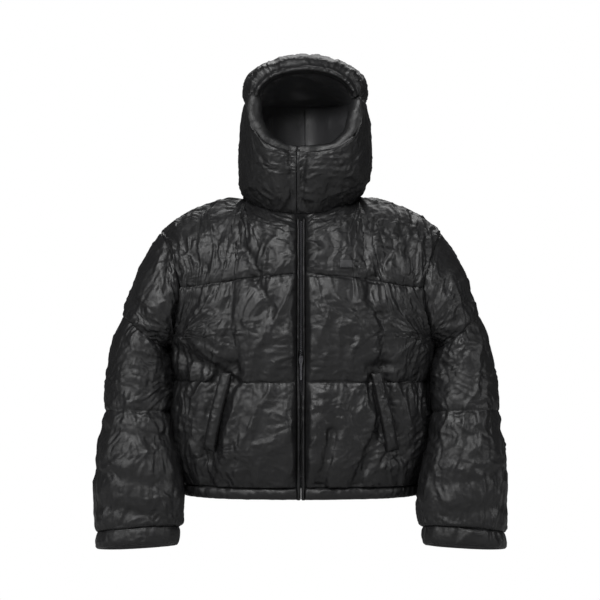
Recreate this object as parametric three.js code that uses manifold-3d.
// A cropped, hooded puffer jacket, filled out as if worn, with nobody in it.
// Millimetres, +Z up, +X towards the wearer's left, and the front faces -Y.
// The origin is at the middle of the neck base, where a wearer's shoulders carry the jacket.
//
// Each padded piece is a wall: a plain inside surface, and an outside that rises between its seams
// into baffles and dips at its folds. Every piece is a grid of points made by one surface function.
import Module from "manifold-3d";
import * as THREE from "three";
import { mergeVertices } from "three/addons/utils/BufferGeometryUtils.js";

const wasm = await Module();
wasm.setup();

// Driving sizes of the trunk: the inside surface, as half-oval sections.
const TRUNK = [
  { z: -627, halfWidth: 236, front: 134, back: 122 },
  { z: -602, halfWidth: 239, front: 138, back: 125 },
  { z: -497, halfWidth: 247, front: 147, back: 128 },
  { z: -388, halfWidth: 250, front: 147, back: 129 },
  { z: -292, halfWidth: 256, front: 147, back: 133 },
];
const OVAL_POWER = 2.4;
const HEM_EDGE_Z = -627;
const HEM_SEAM_Z = -602;
const WAIST_SEAM_Z = -388;
const ARMPIT_Z = -292;
// The chest baffle starts on the trunk and ends on the shoulders: this share of it is trunk.
const CHEST_ON_TRUNK = 0.45;
// The yoke's seam sags between the zip and the armhole by this share of the way up.
const YOKE_SAG = 0.08;

// The middle of the front and of the back above the armpit, by share of the way up to the neck.
const FRONT_MIDDLE = [
  { up: 0, y: -147, z: -292 },
  { up: 0.5, y: -138, z: -167 },
  { up: 0.75, y: -118, z: -105 },
  { up: 1, y: -88, z: -48 },
];
const BACK_MIDDLE = [
  { up: 0, y: 133, z: -292 },
  { up: 0.5, y: 131, z: -160 },
  { up: 0.75, y: 112, z: -80 },
  { up: 1, y: 68, z: 2 },
];

// The neck seam, and the shoulder line from it to the top of the armhole.
const NECK = { halfWidth: 106, front: 88, back: 68, sideZ: -17, frontDrop: 31, backRise: 19 };
const NECK_SHARE = 0.4;
const SHOULDER = { midX: 205, midZ: -47 };
const ARMHOLE = { topX: 278, topZ: -92, bottomX: 256, bottomZ: ARMPIT_Z, halfDepth: 88, bow: 23.5 };

// The sleeve's inside surface, by seam number along it: 0 is the armhole, 1 and 2 the quilted seams,
// 3 the cuff seam. Outer is the edge away from the trunk, inner the one beside it, and lean is how
// much lower the back of a section is than its front.
const SLEEVE = [
  { seam: 0, outerX: 278, outerZ: -92, innerX: 256, innerZ: -292, halfDepth: 88, y: 0, lean: 0, bow: 23.5 },
  { seam: 0.35, outerX: 305, outerZ: -138, innerX: 280, innerZ: -302, halfDepth: 89, y: 0, lean: 0, bow: 12 },
  { seam: 0.68, outerX: 336, outerZ: -203, innerX: 291, innerZ: -311, halfDepth: 88, y: -1, lean: 0, bow: 3 },
  { seam: 1, outerX: 358, outerZ: -256, innerX: 295, innerZ: -324, halfDepth: 85, y: -2, lean: 1, bow: 0 },
  { seam: 1.35, outerX: 375, outerZ: -330, innerX: 295, innerZ: -364, halfDepth: 81, y: -10, lean: 3, bow: 0 },
  { seam: 1.68, outerX: 386, outerZ: -391, innerX: 293, innerZ: -408, halfDepth: 77, y: -22, lean: 4, bow: 0 },
  { seam: 2, outerX: 395, outerZ: -453, innerX: 288, innerZ: -456, halfDepth: 73, y: -40, lean: 5, bow: 0 },
  { seam: 2.35, outerX: 401, outerZ: -534, innerX: 283, innerZ: -533, halfDepth: 69, y: -60, lean: 7, bow: 0 },
  { seam: 2.68, outerX: 406, outerZ: -615, innerX: 266, innerZ: -609, halfDepth: 62, y: -76, lean: 9, bow: 0 },
  { seam: 3, outerX: 409, outerZ: -699, innerX: 262, innerZ: -686, halfDepth: 57, y: -86, lean: 10, bow: 0 },
  { seam: 3.3, outerX: 410, outerZ: -732, innerX: 265, innerZ: -722, halfDepth: 54, y: -90, lean: 10, bow: 0 },
];
const SLEEVE_POWER = 2.2;

// The hood's inside surface. Its lower part rises from the neck seam to the chin's rim in front and
// to the crown seam at the sides and back, and its crown turns from that seam over to the brim.
const HOOD = {
  footLift: 10.5,
  lean: 9,
  midZ: 45,
  midHalfWidth: 116,
  midFront: 120,
  midBack: 100,
  chinY: -112,
  chinZ: 80,
  templeX: 104,
  templeY: -92,
  seamZ: 192,
  sideX: 113,
  backY: 110,
  brimY: -112,
  brimZ: 256,
  domeRise: 24,
};
const TEMPLE_ANGLE = 0.28;

// Wall: its thickness at a seam, and how far the middle of each baffle stands above that.
const SEAM_WALL = 4;
const PUFF = { body: [24, 25, 20], hem: 7, sleeve: [16, 18, 18], cuff: 6, hood: 21, crown: 24, brimRoll: 12 };
// The share of that puff left at each seam in turn, from the first baffle's start to the last one's end.
const SEAMS = {
  body: [0.15, 0.55, 0.55, 1],
  sleeve: [0.2, 0.65, 0.65, 0.7],
  hood: [0.3, 0.4],
  crown: [0.4, 0],
  side: 0.5,
  armhole: 0.2,
};
const BAFFLE_POWER = 3;
const BAFFLE_ROUND = 0.55;
// How far from an edge a panel is at its full height: at the neck, beside a side seam, beside the zip, and
// at the hood's and the crown's front edges. Girths turn shares across a panel into lengths.
const REACH = { neck: 60, side: 55, zip: 42, hoodEdge: 34, crownSide: 60 };
const PANEL_GIRTH = 300;
const SHOULDER_LENGTH = 190;
const YOKE_LENGTH = 115;
const GAP = 0.4;
// Half of the slit between a sleeve's two tubes, in seam numbers, and how far the armhole bends a sleeve.
const SEAM_SLIT = 0.002;
const BEND_SEAMS = 0.36;

// The largest folds: soft troughs across the outside, as seen from the front, with the depth and the
// half-width of each. Those of the sleeves are on both, mirrored.
const FRONT_FOLDS = [
  { fromX: -124, fromZ: -100, toX: -84, toZ: -165, depth: 7, half: 13 },
  { fromX: -238, fromZ: -120, toX: -192, toZ: -158, depth: 7, half: 13 },
  { fromX: -138, fromZ: -192, toX: -143, toZ: -270, depth: 7, half: 13 },
  { fromX: -90, fromZ: -178, toX: -62, toZ: -236, depth: 7, half: 13 },
  { fromX: -252, fromZ: -290, toX: -214, toZ: -222, depth: 8, half: 14 },
  { fromX: -252, fromZ: -318, toX: -130, toZ: -390, depth: 9, half: 14 },
  { fromX: -144, fromZ: -284, toX: -126, toZ: -366, depth: 7, half: 13 },
  { fromX: 198, fromZ: -104, toX: 156, toZ: -160, depth: 7, half: 13 },
  { fromX: 154, fromZ: -164, toX: 134, toZ: -216, depth: 7, half: 13 },
  { fromX: 158, fromZ: -252, toX: 168, toZ: -350, depth: 9, half: 14 },
  { fromX: 60, fromZ: -492, toX: 40, toZ: -606, depth: 10, half: 14 },
  { fromX: 150, fromZ: -494, toX: 110, toZ: -600, depth: 10, half: 14 },
  { fromX: -183, fromZ: -552, toX: -185, toZ: -606, depth: 8, half: 14 },
];
const SLEEVE_FOLDS = [
  { fromX: 270, fromZ: -120, toX: 290, toZ: -196, depth: 7, half: 14 },
  { fromX: 350, fromZ: -184, toX: 322, toZ: -262, depth: 7, half: 14 },
  { fromX: 292, fromZ: -300, toX: 340, toZ: -280, depth: 7, half: 14 },
  { fromX: 300, fromZ: -505, toX: 400, toZ: -490, depth: 5, half: 14 },
  { fromX: 300, fromZ: -600, toX: 400, toZ: -570, depth: 5, half: 14 },
  { fromX: 300, fromZ: -660, toX: 390, toZ: -640, depth: 5, half: 14 },
];

// Slanted pocket welts, right and left: the ends of the middle line, and the hollow each lies in.
const POCKET = { topX: 149, topZ: -368, bottomX: 177, bottomZ: -526, hollow: 15, hollowHalf: 24 };
const WELT = { width: 22, thick: 12, stand: 5.6 };

// The front closing: two edges of the panels, a two-way zip with its lower slider a third of the way
// up, and the lips of cloth beside its chain.
const PANEL_EDGE_X = 9;
const ZIP = {
  tapeHalf: 15,
  tape: 1.2,
  chainHalf: 2.9,
  chain: 2.4,
  halfGap: 0.7,
  lipInner: 3.6,
  lipOuter: 8.2,
  lipHeight: 6,
  lipFoot: 2,
  topUp: 0.96,
};
const SLIDER = { z: -341, width: 9, length: 15, thick: 5.4, lipClear: 5.3 };
const BRIDGE = { width: 3, length: 9, inside: 2.7, wall: 1.2 };
const PULL = { bar: 0.8, lift: 1.35, armInner: 2.1, armOuter: 3.3, eye: 7.5, length: 42, width: 4, thick: 1.6 };

// The binding down the edge of the hood's front, and a plain patch on the wearer's left chest.
const HOOD_EDGE_X = -8;
const BINDING = { width: 5.5, corner: 5, cornerShare: 0.3, thick: 1.6, stand: 0.5, bed: 12 };
const PATCH = { x: 92, z: -147, width: 26, height: 15, thick: 1.2, stand: 1 };

const CLOTH = { color: 0x1b1b1d, roughness: 0.42, metalness: 0 };
const SATIN = { color: 0x141416, roughness: 0.6, metalness: 0 };
const TAPE = { color: 0x101011, roughness: 0.85, metalness: 0 };
const METAL = { color: 0x3a3a3e, roughness: 0.35, metalness: 0.8 };

// The value of a table's column at a place along it, on a smooth curve through the rows.
function along(table, key, at, column) {
  const rows = table[0][key] < table[table.length - 1][key] ? table : [...table].reverse();
  let i = 0;
  while (i < rows.length - 2 && at > rows[i + 1][key]) i += 1;
  const [a, b] = [rows[i], rows[i + 1]];
  const before = rows[Math.max(i - 1, 0)];
  const after = rows[Math.min(i + 2, rows.length - 1)];
  const step = b[key] - a[key];
  const t = THREE.MathUtils.clamp((at - a[key]) / step, 0, 1);
  const slopeA = ((b[column] - before[column]) / (b[key] - before[key])) * step;
  const slopeB = ((after[column] - a[column]) / (after[key] - a[key])) * step;
  const t2 = t * t;
  const t3 = t2 * t;
  return (
    (2 * t3 - 3 * t2 + 1) * a[column] +
    (t3 - 2 * t2 + t) * slopeA +
    (3 * t2 - 2 * t3) * b[column] +
    (t3 - t2) * slopeB
  );
}

const mix = THREE.MathUtils.lerp;
const power = (value, exponent) => Math.sign(value) * Math.abs(value) ** exponent;
const point = (x, y, z) => new THREE.Vector3(x, y, z);

// How an edge rises to a full baffle, and how full baffles are between the shares left at their seams.
function edgeRise(distance, reach) {
  const t = THREE.MathUtils.clamp(distance / reach, 0, 1);
  return (1 - (1 - t) ** BAFFLE_POWER) ** BAFFLE_ROUND;
}
function fullness(seams, place) {
  const which = Math.min(Math.floor(place), seams.length - 2);
  const share = place - which;
  const left = share < 0.5 ? seams[which] : seams[which + 1];
  return mix(left, 1, edgeRise(Math.min(share, 1 - share), 0.5));
}

// Trunk section at a height: q runs from 0 at the middle of the face to 1 at the side seam.
function trunk(side, face, q, z) {
  const halfWidth = along(TRUNK, "z", z, "halfWidth");
  const depth = face < 0 ? along(TRUNK, "z", z, "front") : along(TRUNK, "z", z, "back");
  const angle = (q * Math.PI) / 2;
  const x = halfWidth * power(Math.sin(angle), 2 / OVAL_POWER);
  const y = depth * power(Math.max(Math.cos(angle), 0), 2 / OVAL_POWER);
  return point(side * x, face * y, z);
}

// The neck seam by its angle, 0 at the middle front and PI at the middle back.
function neck(side, angle) {
  const c = Math.cos(angle);
  const y = c > 0 ? -NECK.front * c : -NECK.back * c;
  const z = NECK.sideZ + (c > 0 ? -NECK.frontDrop : NECK.backRise) * c * c;
  return point(side * NECK.halfWidth * Math.sin(angle), y, z);
}

// The armhole seam: 0 at the top, PI at the armpit.
function armhole(side, face, angle) {
  const c = Math.cos(angle);
  const s = Math.sin(angle);
  const x = mix(ARMHOLE.bottomX, ARMHOLE.topX, (1 + c) / 2) - ARMHOLE.bow * s * s;
  const z = mix(ARMHOLE.bottomZ, ARMHOLE.topZ, (1 + c) / 2);
  return point(side * x, face * ARMHOLE.halfDepth * s, z);
}

// The top edge of a body panel: half of the neck seam, then the shoulder line.
function topEdge(side, face, q) {
  if (q < NECK_SHARE) {
    const turn = ((q / NECK_SHARE) * Math.PI) / 2;
    return neck(side, face < 0 ? turn : Math.PI - turn);
  }
  const t = (q - NECK_SHARE) / (1 - NECK_SHARE);
  const middle = point(side * SHOULDER.midX, 0, SHOULDER.midZ);
  const from = neck(side, Math.PI / 2).multiplyScalar(2 * (t - 0.5) * (t - 1));
  from.addScaledVector(middle, 4 * t * (1 - t));
  return from.addScaledVector(point(side * ARMHOLE.topX, 0, ARMHOLE.topZ), 2 * t * (t - 0.5));
}
// Further down the panel, the corner where neck and shoulder meet is smoothed away.
function softTop(side, face, q, up) {
  const spread = 0.32 * (1 - up) ** 0.7;
  const sum = point(0, 0, 0);
  for (const [step, weight] of [[-1, 1], [-0.5, 2], [0, 3], [0.5, 2], [1, 1]]) {
    sum.addScaledVector(topEdge(side, face, THREE.MathUtils.clamp(q + step * spread, 0, 1)), weight / 9);
  }
  return sum;
}

// The shoulders, above the armpit: a patch blended from its four edges.
function shoulders(side, face, q, up) {
  const middle = face < 0 ? FRONT_MIDDLE : BACK_MIDDLE;
  const centre = point(0, along(middle, "up", up, "y"), along(middle, "up", up, "z"));
  const sleeveEdge = armhole(side, face, Math.PI * (1 - up));
  const low = trunk(side, face, q, ARMPIT_Z);
  const high = softTop(side, face, q, up);
  const corner = (a, b) => (b ? softTop(side, face, a, up) : trunk(side, face, a, ARMPIT_Z));
  const blend = low.lerp(high, up).add(centre.lerp(sleeveEdge, q));
  const flat = corner(0, 0).lerp(corner(1, 0), q).lerp(corner(0, 1).lerp(corner(1, 1), q), up);
  return blend.sub(flat);
}

// A body panel: rise 0 to 1 is the lower baffle, 1 to 2 the chest, and 2 to 3 the yoke.
function body(side, face, q, rise) {
  if (rise <= 1) return trunk(side, face, q, mix(HEM_SEAM_Z + GAP, WAIST_SEAM_Z, rise));
  const t = rise - 1;
  if (t <= CHEST_ON_TRUNK) return trunk(side, face, q, mix(WAIST_SEAM_Z, ARMPIT_Z, t / CHEST_ON_TRUNK));
  const up = t < 1 ? (0.5 * (t - CHEST_ON_TRUNK)) / (1 - CHEST_ON_TRUNK) : 0.5 * t;
  return shoulders(side, face, q, up - YOKE_SAG * Math.sin(Math.PI * q) * Math.sin(Math.PI * up));
}

// A sleeve: round is the angle about it, 0 at the outer edge and PI beside the trunk.
function sleeve(side, round, seam) {
  const at = (column) => along(SLEEVE, "seam", seam, column);
  const c = power(Math.cos(round), 2 / SLEEVE_POWER);
  const s = power(Math.sin(round), 2 / SLEEVE_POWER);
  const flatten = THREE.MathUtils.clamp(seam, 0, 1);
  const [cos, sin] = [mix(Math.cos(round), c, flatten), mix(Math.sin(round), s, flatten)];
  const x = mix(at("innerX"), at("outerX"), (1 + cos) / 2) - at("bow") * sin * sin;
  const z = mix(at("innerZ"), at("outerZ"), (1 + cos) / 2) - at("lean") * sin;
  return point(side * x, at("y") + at("halfDepth") * sin, z);
}

// The hood's lower part: turn 0 at the middle front, 1 at the middle back; up 0 to 1.
function hoodTop(side, turn) {
  if (turn < TEMPLE_ANGLE) {
    const t = ((turn / TEMPLE_ANGLE) * Math.PI) / 2;
    const z = mix(HOOD.chinZ, HOOD.seamZ, (1 - Math.cos(t)) ** 1.3);
    return point(side * HOOD.templeX * Math.sin(t), mix(HOOD.chinY, HOOD.templeY, (turn / TEMPLE_ANGLE) ** 2), z);
  }
  if (turn < 0.5) {
    const t = (turn - TEMPLE_ANGLE) / (0.5 - TEMPLE_ANGLE);
    const x = mix(HOOD.templeX, HOOD.sideX, Math.sin((t * Math.PI) / 2));
    return point(side * x, mix(HOOD.templeY, 0, t), HOOD.seamZ);
  }
  const t = (turn - 0.5) * Math.PI;
  return point(side * HOOD.sideX * Math.cos(t), HOOD.backY * Math.sin(t), HOOD.seamZ);
}
function hoodLower(side, turn, up) {
  const angle = turn * Math.PI;
  const foot = neck(side, angle).add(point(0, 0, HOOD.footLift));
  const c = Math.cos(angle);
  const midY = c > 0 ? -HOOD.midFront * c : -HOOD.midBack * c;
  const middle = point(side * HOOD.midHalfWidth * Math.sin(angle), midY, HOOD.midZ);
  const top = hoodTop(side, turn);
  const half = 0.42;
  const w0 = ((up - half) * (up - 1)) / half;
  const w1 = (up * (up - 1)) / (half * (half - 1));
  const w2 = (up * (up - half)) / (1 - half);
  const p = foot.multiplyScalar(w0).addScaledVector(middle, w1).addScaledVector(top, w2);
  p.x += HOOD.lean * THREE.MathUtils.smoothstep(up, 0, 0.6);
  return p;
}

// The crown: across 0 to 1 from the right temple over to the left one, over 0 at the seam to 1 at the brim.
function crown(across, over) {
  const side = across < 0.5 ? -1 : 1;
  const reach = across < 0.5 ? across : 1 - across;
  const seamPoint = hoodTop(side, TEMPLE_ANGLE + (1 - TEMPLE_ANGLE) * 2 * reach);
  const arch = Math.sin(Math.PI * across);
  const brimX = -HOOD.templeX * Math.cos(Math.PI * across);
  const turn = (over * Math.PI) / 2;
  const x = mix(seamPoint.x, brimX, Math.sin(turn) ** 2);
  const brimY = mix(HOOD.templeY, HOOD.brimY, arch);
  const y = brimY + (seamPoint.y - brimY) * Math.max(Math.cos(turn), 0) ** 0.85;
  const rise = (HOOD.brimZ - HOOD.seamZ) * arch ** 0.9 * Math.sin(turn) ** 0.85;
  const z = HOOD.seamZ + GAP + rise + HOOD.domeRise * Math.sin(2 * turn) * arch;
  return point(x + HOOD.lean, y, z);
}

// The outward normal of a surface function, from its neighbours. Flip turns it round.
function normalOf(surface, u, v, flip) {
  const step = 0.004;
  const [u0, u1] = [Math.max(u - step, 0), Math.min(u + step, 1)];
  const [v0, v1] = [Math.max(v - step, 0), Math.min(v + step, 1)];
  const du = surface(u1, v).sub(surface(u0, v));
  const dv = surface(u, v1).sub(surface(u, v0));
  return du.cross(dv).normalize().multiplyScalar(flip);
}

// Grid rows crowd towards the seams, which lie at whole numbers of baffles.
function rowAt(share, baffles) {
  const place = share * baffles;
  const seam = Math.min(Math.floor(place + 1e-9), baffles - 1);
  const within = place - seam;
  return (seam + mix(within, (1 - Math.cos(Math.PI * within)) / 2, 0.6)) / baffles;
}

// A closed wall over a grid: outside and inside sheets, joined round their edges. A ring closes on
// itself, and a bed is a narrow first column.
function wall({ columns, rows, baffles = 1, bed = 0, surface, flip = 1, low = () => 0, high, bend, ring }) {
  const across = ring ? columns : columns + 1;
  const columnAt = (i) => (bed && i ? mix(bed, 1, (i - 1) / (columns - 1)) : i / columns);
  const positions = [];
  const place = (lift) => {
    for (let j = 0; j <= rows; j += 1) {
      for (let i = 0; i < across; i += 1) {
        const [u, v] = [columnAt(i), rowAt(j / rows, baffles)];
        const base = surface(u, v);
        const out = normalOf(surface, u, v, flip);
        if (bend) bend(out, u, v);
        base.addScaledVector(out, lift(u, v, base.clone()));
        positions.push(base.x, base.y, base.z);
      }
    }
  };
  place(high);
  place(low);
  const sheet = across * (rows + 1);
  const at = (i, j, inside) => (inside ? sheet : 0) + j * across + (i % across);
  const faces = [];
  const quad = (a, b, c, d) => (flip > 0 ? faces.push(a, b, c, a, c, d) : faces.push(a, c, b, a, d, c));
  for (let j = 0; j < rows; j += 1) {
    for (let i = 0; i < columns; i += 1) {
      quad(at(i, j), at(i + 1, j), at(i + 1, j + 1), at(i, j + 1));
      quad(at(i, j, true), at(i, j + 1, true), at(i + 1, j + 1, true), at(i + 1, j, true));
    }
  }
  for (let i = 0; i < columns; i += 1) {
    quad(at(i, 0), at(i, 0, true), at(i + 1, 0, true), at(i + 1, 0));
    quad(at(i, rows), at(i + 1, rows), at(i + 1, rows, true), at(i, rows, true));
  }
  for (let j = 0; j < rows && !ring; j += 1) {
    quad(at(0, j), at(0, j + 1), at(0, j + 1, true), at(0, j, true));
    quad(at(columns, j), at(columns, j, true), at(columns, j + 1, true), at(columns, j + 1));
  }
  const geometry = new THREE.BufferGeometry();
  geometry.setAttribute("position", new THREE.Float32BufferAttribute(positions, 3));
  geometry.setIndex(faces);
  geometry.computeVertexNormals();
  return geometry;
}

const jacket = new THREE.Group();
function add(name, geometry, finish = CLOTH) {
  const mesh = new THREE.Mesh(geometry, new THREE.MeshStandardMaterial(finish));
  mesh.name = name;
  jacket.add(mesh);
}

// How deep the folds of a table cut at a place seen from the front.
function foldDepth(folds, x, z) {
  let deepest = 0;
  const here = point(x, 0, z);
  for (const fold of folds) {
    const run = new THREE.Line3(point(fold.fromX, 0, fold.fromZ), point(fold.toX, 0, fold.toZ));
    const t = run.closestPointToPointParameter(here, true);
    const off = run.at(t, point(0, 0, 0)).distanceTo(here) / fold.half;
    deepest = Math.max(deepest, fold.depth * Math.exp(-off * off));
  }
  return deepest;
}

// 1 on a pocket welt's middle line, falling to 0 beside it.
function pocketShare(x, z) {
  const t = (POCKET.topZ - z) / (POCKET.topZ - POCKET.bottomZ);
  const lineX = mix(POCKET.topX, POCKET.bottomX, THREE.MathUtils.clamp(t, 0, 1));
  const off = (Math.abs(x) - lineX) / POCKET.hollowHalf;
  const past = Math.max(z - POCKET.topZ, POCKET.bottomZ - z, 0) / POCKET.hollowHalf;
  return Math.exp(-(off ** 4) - past ** 4);
}

// How far a body panel's outside stands off its inside, at q across it and rise up it.
function bodyHeight(face, q, rise, x, z) {
  const which = Math.min(Math.floor(rise), 2);
  const edge = rise > 1 + CHEST_ON_TRUNK ? SEAMS.armhole : SEAMS.side;
  const pastNeck = Math.max(q - NECK_SHARE, 0) / (1 - NECK_SHARE);
  const fromNeck = Math.hypot(pastNeck * SHOULDER_LENGTH, (3 - rise) * YOKE_LENGTH);
  let height = PUFF.body[which] * fullness(SEAMS.body, rise) * edgeRise(fromNeck, REACH.neck);
  height *= mix(edge, 1, edgeRise((1 - q) * PANEL_GIRTH, REACH.side));
  if (face < 0) {
    height *= edgeRise(Math.abs(x) - PANEL_EDGE_X, REACH.zip);
    height = Math.max(height - POCKET.hollow * pocketShare(x, z), height * 0.25);
    height = Math.max(height - foldDepth(FRONT_FOLDS, x, z) * Math.min(height / 8, 1), 0);
  }
  return SEAM_WALL + height;
}

// How far a sleeve's outside stands off its inside. It is flatter beside the trunk.
function sleeveHeight(round, seam, x, y, z) {
  const which = Math.min(Math.floor(seam), 2);
  const besideBody = Math.max(-Math.cos(round), 0);
  const puff = PUFF.sleeve[which] * fullness(SEAMS.sleeve, seam) * (1 - 0.5 * besideBody ** 2);
  const folds = y < 0 ? foldDepth(SLEEVE_FOLDS, Math.abs(x), z) : 0;
  return SEAM_WALL + Math.max(puff - folds * Math.min(puff / 8, 1), 0);
}

// Where a body panel and a sleeve meet, both walls' edges point the same way, half-way between the two.
function armholeOut(side, face, angle) {
  const panel = (u, v) => body(side, face, u, mix(1 + CHEST_ON_TRUNK, 3, v));
  const arm = (u, v) => sleeve(side, (u - 0.5) * 2 * Math.PI, v * 0.5);
  const panelOut = normalOf(panel, 1, 1 - angle / Math.PI, side * -face);
  const armOut = normalOf(arm, 0.5 + (face * angle) / (2 * Math.PI), 0, -side);
  return panelOut.add(armOut).normalize();
}

// Bends a panel's outward direction to the shoulder's and the armhole's near those seams.
function bendAtSeams(side, face, out, q, rise) {
  const nearTop = THREE.MathUtils.smoothstep(rise, 2.6, 3);
  out.y *= 1 - nearTop * THREE.MathUtils.smoothstep(q, NECK_SHARE, NECK_SHARE + 0.15);
  out.normalize();
  const low = 1 + CHEST_ON_TRUNK;
  const share = THREE.MathUtils.smoothstep(q, 0.8, 1) * THREE.MathUtils.smoothstep(rise, low - 0.2, low);
  if (share === 0) return;
  const up = rise < 2 ? (0.5 * Math.max(rise - low, 0)) / (1 - CHEST_ON_TRUNK) : 0.5 * (rise - 1);
  out.lerp(armholeOut(side, face, Math.PI * (1 - up)), share).normalize();
}

// How far across a front panel the zip's edge is, at a rise.
function edgeAt(rise) {
  let [near, far] = [0, 0.2];
  for (let i = 0; i < 16; i += 1) {
    const middle = (near + far) / 2;
    if (body(1, -1, middle, rise).x < PANEL_EDGE_X) near = middle;
    else far = middle;
  }
  return far;
}
function addFront(name, side) {
  const q = (u, v) => mix(edgeAt(v * 3), 1, u);
  const surface = (u, v) => body(side, -1, q(u, v), v * 3).add(point(0, -GAP / 2, 0));
  const high = (u, v, p) => bodyHeight(-1, q(u, v), v * 3, p.x, p.z);
  const bend = (out, u, v) => bendAtSeams(side, -1, out, q(u, v), v * 3);
  add(name, wall({ columns: 14, rows: 27, baffles: 3, surface, flip: side, high, bend }));
}

function addBack(name) {
  const side = (u) => (u < 0.5 ? -1 : 1);
  const q = (u) => Math.abs(2 * u - 1);
  const surface = (u, v) => body(side(u), 1, q(u), v * 3).add(point(0, GAP / 2, 0));
  const high = (u, v, p) => bodyHeight(1, q(u), v * 3, p.x, p.z);
  const bend = (out, u, v) => bendAtSeams(side(u), 1, out, q(u), v * 3);
  add(name, wall({ columns: 20, rows: 21, baffles: 3, surface, flip: -1, high, bend }));
}

function addHem(name) {
  const surface = (u, v) => {
    const turn = mix(-0.994, 0.994, u);
    const side = turn < 0 ? -1 : 1;
    const round = 2 * (1 - Math.abs(turn));
    const z = mix(HEM_EDGE_Z, HEM_SEAM_Z - GAP, v);
    const p = round < 1 ? trunk(side, -1, round, z) : trunk(side, 1, 2 - round, z);
    if (round < 1) p.x = side * Math.max(Math.abs(p.x), PANEL_EDGE_X);
    return p;
  };
  const high = (u, v) => SEAM_WALL + PUFF.hem * edgeRise(Math.min(v, 1 - v), 0.5);
  add(name, wall({ columns: 44, rows: 3, surface, flip: -1, high }));
}

function sleeveSurface(side, fromSeam, toSeam) {
  return (u, v) => {
    const seam = mix(fromSeam, toSeam, v);
    const p = sleeve(side, u * 2 * Math.PI, seam);
    const underarm = Math.max(-Math.cos(u * 2 * Math.PI), 0);
    p.x += side * Math.max(1 - seam * 2, 0) ** 1.5 * (GAP * 2 + 11 * underarm ** 2);
    return p;
  };
}
// A sleeve is two tubes that meet at its first quilted seam: the cap, and the rest down to the cuff.
const SLEEVE_ROWS = 7;
function addSleeveTube(name, side, fromSeam, toSeam) {
  const seamAt = (v) => mix(fromSeam, toSeam, v);
  const high = (u, v, p) => sleeveHeight(u * 2 * Math.PI, Math.round(seamAt(v) * 1000) / 1000, p.x, p.y, p.z);
  const bend = (out, u, v) => {
    const share = THREE.MathUtils.smoothstep(BEND_SEAMS - seamAt(v), 0, BEND_SEAMS);
    if (share === 0) return;
    const around = u <= 0.5 ? u : 1 - u;
    const face = u <= 0.5 ? 1 : -1;
    out.lerp(armholeOut(side, face, around * 2 * Math.PI), share).normalize();
  };
  const baffles = Math.round(toSeam - fromSeam);
  const shape = { columns: 18, rows: SLEEVE_ROWS * baffles, baffles, flip: -side, high, bend, ring: true };
  add(name, wall({ ...shape, surface: sleeveSurface(side, fromSeam, toSeam) }));
}
function addSleeve(side, sideName) {
  addSleeveTube(`sleeve_cap_${sideName}`, side, 0, 1 - SEAM_SLIT);
  addSleeveTube(`sleeve_${sideName}`, side, 1 + SEAM_SLIT, 3);
}

function addCuff(name, side) {
  const surface = (u, v) => sleeveSurface(side, 3, 3.3)(u, v).add(point(0, 0, -GAP * 1.5));
  const high = (u, v) => SEAM_WALL + PUFF.cuff * edgeRise(Math.min(v, 1 - v), 0.5);
  add(name, wall({ columns: 18, rows: 3, surface, flip: -side, high, ring: true }));
}

// Each half of the hood runs from its front edge, left of the middle, to the middle back.
const HOOD_HALVES = [
  { name: "right", side: -1, edgeX: HOOD_EDGE_X - GAP },
  { name: "left", side: 1, edgeX: HOOD_EDGE_X },
];
const HOOD_GIRTH = 330;
// The turn at which a half of the hood has its front edge, at a height.
function hoodEdgeTurn(half, up) {
  let [near, far] = [-0.15, 0.15];
  for (let i = 0; i < 16; i += 1) {
    const middle = (near + far) / 2;
    if ((hoodLower(half.side, middle, up).x - half.edgeX) * half.side < 0) near = middle;
    else far = middle;
  }
  return far;
}
function hoodHalfSurface(half) {
  return (u, v) => hoodLower(half.side, mix(hoodEdgeTurn(half, v * 0.998), 0.9985, u), v * 0.998);
}
function addHoodHalf(half) {
  // It is flatter just above the yoke, most of all at the back.
  const high = (u, v) => {
    const pressed = mix(0.17, 0.6, THREE.MathUtils.smoothstep(u, 0.3, 0.6)) * Math.exp(-((v / 0.2) ** 2));
    const puff = PUFF.hood * fullness(SEAMS.hood, v) * (1 - pressed);
    return SEAM_WALL + puff * edgeRise(u * HOOD_GIRTH - BINDING.bed, REACH.hoodEdge);
  };
  const bed = BINDING.bed / HOOD_GIRTH;
  const shape = { columns: 15, rows: 10, bed, surface: hoodHalfSurface(half), flip: half.side, high };
  add(`hood_${half.name}`, wall(shape));
}

function addCrown(name) {
  const surface = (u, v) => crown(mix(0.035, 0.965, u), v);
  const high = (u, v) => {
    const roll = PUFF.brimRoll * Math.exp(-(((1 - v) / 0.16) ** 2)) * edgeRise(1 - v, 0.05);
    const fromSide = Math.min(u, 1 - u) * PANEL_GIRTH;
    return SEAM_WALL + (PUFF.crown * fullness(SEAMS.crown, v) + roll) * edgeRise(fromSide, REACH.crownSide);
  };
  add(name, wall({ columns: 18, rows: 12, surface, flip: -1, high }));
}

// The lining hangs just inside the hood's walls.
const LINING = { outside: -2.4, outsideCrown: -1.5, thick: 1.2 };
function addHoodLining() {
  const sheets = (outside) => ({ low: () => outside - LINING.thick, high: () => outside });
  for (const half of HOOD_HALVES) {
    const surface = (u, v) => {
      const up = mix(0.03, 0.96, v);
      return hoodLower(half.side, mix(hoodEdgeTurn(half, up) + 0.01, 0.99, u), up);
    };
    const shape = { columns: 12, rows: 5, surface, flip: half.side, ...sheets(LINING.outside) };
    add(`hood_lining_${half.name}`, wall(shape), SATIN);
  }
  const surface = (u, v) => crown(mix(0.1, 0.9, u), mix(0.04, 0.94, v));
  const shape = { columns: 12, rows: 7, surface, flip: -1, ...sheets(LINING.outsideCrown) };
  add("hood_lining_crown", wall(shape), SATIN);
}

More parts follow.
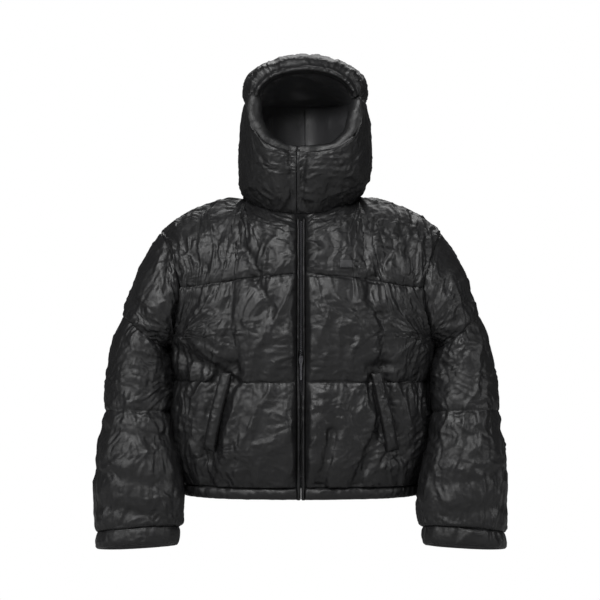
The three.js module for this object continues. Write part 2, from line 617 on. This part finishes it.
// The place on the front panels that is seen at x and z: q across and rise up.
function findOnFront(x, z) {
  const clamp = THREE.MathUtils.clamp;
  let q = Math.abs(x) / PANEL_GIRTH;
  let rise = mix(3, 0, clamp(z / HEM_SEAM_Z, 0, 1));
  const step = 1e-4;
  for (let i = 0; i < 40; i += 1) {
    const p = body(1, -1, q, rise);
    const dq = body(1, -1, q + step, rise).sub(p).divideScalar(step);
    const dr = body(1, -1, q, rise + step).sub(p).divideScalar(step);
    const [wantX, wantZ] = [Math.abs(x) - p.x, z - p.z];
    const scale = dq.x * dr.z - dr.x * dq.z;
    const [moveQ, moveRise] = [(wantX * dr.z - dr.x * wantZ) / scale, (dq.x * wantZ - wantX * dq.z) / scale];
    q = clamp(q + clamp(moveQ, -0.1, 0.1), 1e-4, 0.999);
    rise = clamp(rise + clamp(moveRise, -0.2, 0.2), 0, 2.999);
  }
  return { q, rise };
}
// The front's inside surface seen at x and z. Below the lower baffle it is the hem's.
function frontAt(x, z) {
  const side = x < 0 ? -1 : 1;
  if (z < HEM_SEAM_Z + GAP) {
    const share = Math.abs(x) / along(TRUNK, "z", z, "halfWidth");
    return point(x, -along(TRUNK, "z", z, "front") * (1 - share ** OVAL_POWER) ** (1 / OVAL_POWER), z);
  }
  const { q, rise } = findOnFront(x, z);
  return body(side, -1, q, rise);
}

const ZIP_TOP_Z = along(FRONT_MIDDLE, "up", ZIP.topUp, "z");

function addStrip(name, size, shape, finish) {
  const surface = (u, v) => frontAt(mix(size.fromX, size.toX, u), mix(size.fromZ, size.toZ, v));
  add(name, wall({ surface, ...shape }), finish);
}

function addZip() {
  const whole = { fromZ: HEM_EDGE_Z, toZ: ZIP_TOP_Z };
  const above = { fromZ: SLIDER.z + SLIDER.length / 2 + GAP, toZ: ZIP_TOP_Z };
  const below = { fromZ: HEM_EDGE_Z + 2, toZ: SLIDER.z - SLIDER.length / 2 - GAP };
  const tapeShape = { columns: 1, rows: 20, low: () => -GAP * 2 - ZIP.tape, high: () => -GAP * 2 };
  const chainShape = { columns: 1, rows: 12, low: () => -0.1, high: () => ZIP.chain };
  const chainHalf = ZIP.chainHalf;
  addStrip("zip_chain", { fromX: -chainHalf, toX: chainHalf, ...above }, chainShape, METAL);
  for (const [name, side] of [["right", -1], ["left", 1]]) {
    const from = (a, b) => (side < 0 ? { fromX: -b, toX: -a } : { fromX: a, toX: b });
    addStrip(`zip_tape_${name}`, { ...from(0.2, ZIP.tapeHalf), ...whole }, tapeShape, TAPE);
    addStrip(`zip_chain_${name}`, { ...from(ZIP.halfGap / 2, chainHalf), ...below }, chainShape, METAL);
    addLip(`zip_lip_${name}`, side);
  }
}

// A lip of cloth beside the chain, which gives way round the slider.
function addLip(name, side) {
  const surface = (u, v) => {
    const z = mix(HEM_EDGE_Z, ZIP_TOP_Z, v);
    const near = Math.exp(-(((z - SLIDER.z) / 16) ** 4));
    const inner = mix(ZIP.lipInner, SLIDER.lipClear, near);
    const across = side < 0 ? 1 - u : u;
    return frontAt(side * mix(inner, ZIP.lipOuter, across), z);
  };
  const round = (u) => Math.sqrt(Math.max(1 - (2 * u - 1) ** 2, 0));
  const high = (u) => ZIP.lipFoot + (ZIP.lipHeight - ZIP.lipFoot) * round(u);
  add(name, wall({ columns: 3, rows: 22, surface, high }));
}

// Solids that are cut or joined.
function toSolid(geometry) {
  const bare = geometry.clone();
  for (const key of Object.keys(bare.attributes)) if (key !== "position") bare.deleteAttribute(key);
  const merged = mergeVertices(bare, 1e-4);
  const vertProperties = new Float32Array(merged.attributes.position.array);
  const triVerts = new Uint32Array(merged.index.array);
  return new wasm.Manifold(new wasm.Mesh({ numProp: 3, vertProperties, triVerts }));
}
function toGeometry(solid) {
  const mesh = solid.getMesh();
  const geometry = new THREE.BufferGeometry();
  geometry.setAttribute("position", new THREE.Float32BufferAttribute(mesh.vertProperties, 3));
  geometry.setIndex([...mesh.triVerts]);
  geometry.computeVertexNormals();
  return geometry;
}
const block = (width, depth, height, x, y, z) => new THREE.BoxGeometry(width, depth, height).translate(x, y, z);

// A flat plate with its outline in X and Z, its back at y and its thickness towards the front.
function plate(shape, y, thick) {
  const geometry = new THREE.ExtrudeGeometry(shape, { depth: thick, bevelEnabled: false, curveSegments: 4 });
  return geometry.rotateX(Math.PI / 2).translate(0, y, 0);
}

// The slider is a plate round the chain, with a bridge over its middle.
const SLIDER_BACK_Y = frontAt(0.5, SLIDER.z).y;
const SLIDER_FACE_Y = SLIDER_BACK_Y - SLIDER.thick;
function addSlider(name) {
  const [w, l] = [SLIDER.width / 2, SLIDER.length / 2];
  const outline = new THREE.Shape();
  outline.moveTo(-w * 0.5, SLIDER.z + l);
  outline.lineTo(w * 0.5, SLIDER.z + l);
  outline.quadraticCurveTo(w, SLIDER.z + l * 0.4, w, SLIDER.z - l * 0.3);
  outline.lineTo(w * 0.8, SLIDER.z - l);
  outline.lineTo(-w * 0.8, SLIDER.z - l);
  outline.lineTo(-w, SLIDER.z - l * 0.3);
  outline.quadraticCurveTo(-w, SLIDER.z + l * 0.4, -w * 0.5, SLIDER.z + l);
  const high = BRIDGE.inside + BRIDGE.wall;
  const out = SLIDER_FACE_Y - high / 2 + 0.25;
  const bridge = toSolid(block(BRIDGE.width, high + 0.5, BRIDGE.length, 0, out, SLIDER.z));
  const inside = BRIDGE.length - 2 * BRIDGE.wall;
  const eye = toSolid(block(BRIDGE.width + 1, BRIDGE.inside, inside, 0, SLIDER_FACE_Y - BRIDGE.inside / 2, SLIDER.z));
  const body = toSolid(plate(outline, SLIDER_BACK_Y, SLIDER.thick));
  add(name, toGeometry(body.add(bridge.subtract(eye))), METAL);
}

// The pull hangs from the bridge by a round bar between two arms, over a flat tab.
function addPull(name) {
  const y = SLIDER_FACE_Y - PULL.lift;
  const bar = new THREE.CylinderGeometry(PULL.bar, PULL.bar, PULL.armInner * 2 + 1, 12);
  let solid = toSolid(bar.rotateZ(Math.PI / 2).translate(0, y, SLIDER.z));
  const armWidth = PULL.armOuter - PULL.armInner;
  for (const side of [-1, 1]) {
    const x = (side * (PULL.armInner + PULL.armOuter)) / 2;
    const cap = new THREE.CylinderGeometry(PULL.thick / 2, PULL.thick / 2, armWidth, 12);
    solid = solid.add(toSolid(cap.rotateZ(Math.PI / 2).translate(x, y, SLIDER.z)));
    solid = solid.add(toSolid(block(armWidth, PULL.thick, PULL.eye, x, y, SLIDER.z - PULL.eye / 2)));
  }
  const tab = new THREE.Shape();
  const half = PULL.width / 2;
  const end = SLIDER.z - PULL.length;
  tab.moveTo(-PULL.armOuter, SLIDER.z - PULL.eye + 1.2);
  tab.lineTo(-half, SLIDER.z - PULL.eye - 4);
  tab.lineTo(-half, end + half);
  tab.absarc(0, end + half, half, Math.PI, 2 * Math.PI, false);
  tab.lineTo(half, SLIDER.z - PULL.eye - 4);
  tab.lineTo(PULL.armOuter, SLIDER.z - PULL.eye + 1.2);
  solid = solid.add(toSolid(plate(tab, y + PULL.thick / 2, PULL.thick)));
  add(name, toGeometry(solid), METAL);
}

// A padded welt in the hollow of the panel over a pocket's opening.
function addWelt(name, side) {
  const line = point(POCKET.bottomX - POCKET.topX, 0, POCKET.bottomZ - POCKET.topZ).normalize();
  const surface = (u, v) => {
    const x = mix(POCKET.topX, POCKET.bottomX, v) - line.z * (u - 0.5) * WELT.width;
    const z = mix(POCKET.topZ, POCKET.bottomZ, v) + line.x * (u - 0.5) * WELT.width;
    const { q, rise } = findOnFront(x, z);
    return body(side, -1, q, rise);
  };
  const under = (u, v, p) => {
    const { q, rise } = findOnFront(p.x, p.z);
    return bodyHeight(-1, q, rise, p.x, p.z) + WELT.stand;
  };
  const crownOf = (s, sharp) => (1 - Math.abs(2 * s - 1) ** sharp) ** 0.5;
  const high = (u, v, p) => under(u, v, p) + 2 + (WELT.thick - 2) * crownOf(u, 2.5) * crownOf(v, 8);
  add(name, wall({ columns: 5, rows: 10, surface, flip: -side, low: under, high }));
}

// A plain patch, flat on the yoke.
function addPatch(name) {
  const surface = (u, v) => frontAt(PATCH.x + (u - 0.5) * PATCH.width, PATCH.z + (v - 0.5) * PATCH.height);
  const under = (u, v, p) => {
    const { q, rise } = findOnFront(p.x, p.z);
    return bodyHeight(-1, q, rise, p.x, p.z) + PATCH.stand;
  };
  const high = (u, v, p) => under(u, v, p) + PATCH.thick;
  add(name, wall({ columns: 4, rows: 3, surface, low: under, high }));
}

// The binding down the hood's overlapping front edge, wider at its lower corner.
function addBinding(name) {
  const half = HOOD_HALVES[1];
  const panel = hoodHalfSurface(half);
  const surface = (u, v) => {
    const up = mix(0.03, 0.97, v);
    const edge = panel(0, up);
    const reach = panel(BINDING.bed / HOOD_GIRTH, up).sub(edge);
    const corner = BINDING.corner * Math.max(1 - Math.abs(v - 0.12) / BINDING.cornerShare, 0);
    return edge.addScaledVector(reach, (u * (BINDING.width + corner)) / reach.length());
  };
  const low = () => SEAM_WALL + BINDING.stand;
  const high = () => SEAM_WALL + BINDING.stand + BINDING.thick;
  add(name, wall({ columns: 2, rows: 10, surface, low, high }));
}

addFront("front_right", -1);
addFront("front_left", 1);
addBack("back");
addHem("hem_band");
for (const [name, side] of [["right", -1], ["left", 1]]) {
  addSleeve(side, name);
  addCuff(`cuff_${name}`, side);
  addWelt(`pocket_welt_${name}`, side);
}
HOOD_HALVES.forEach(addHoodHalf);
addCrown("hood_crown");
addHoodLining();
addBinding("hood_binding");
addZip();
addSlider("zip_slider");
addPull("zip_pull");
addPatch("chest_patch");

export default jacket;
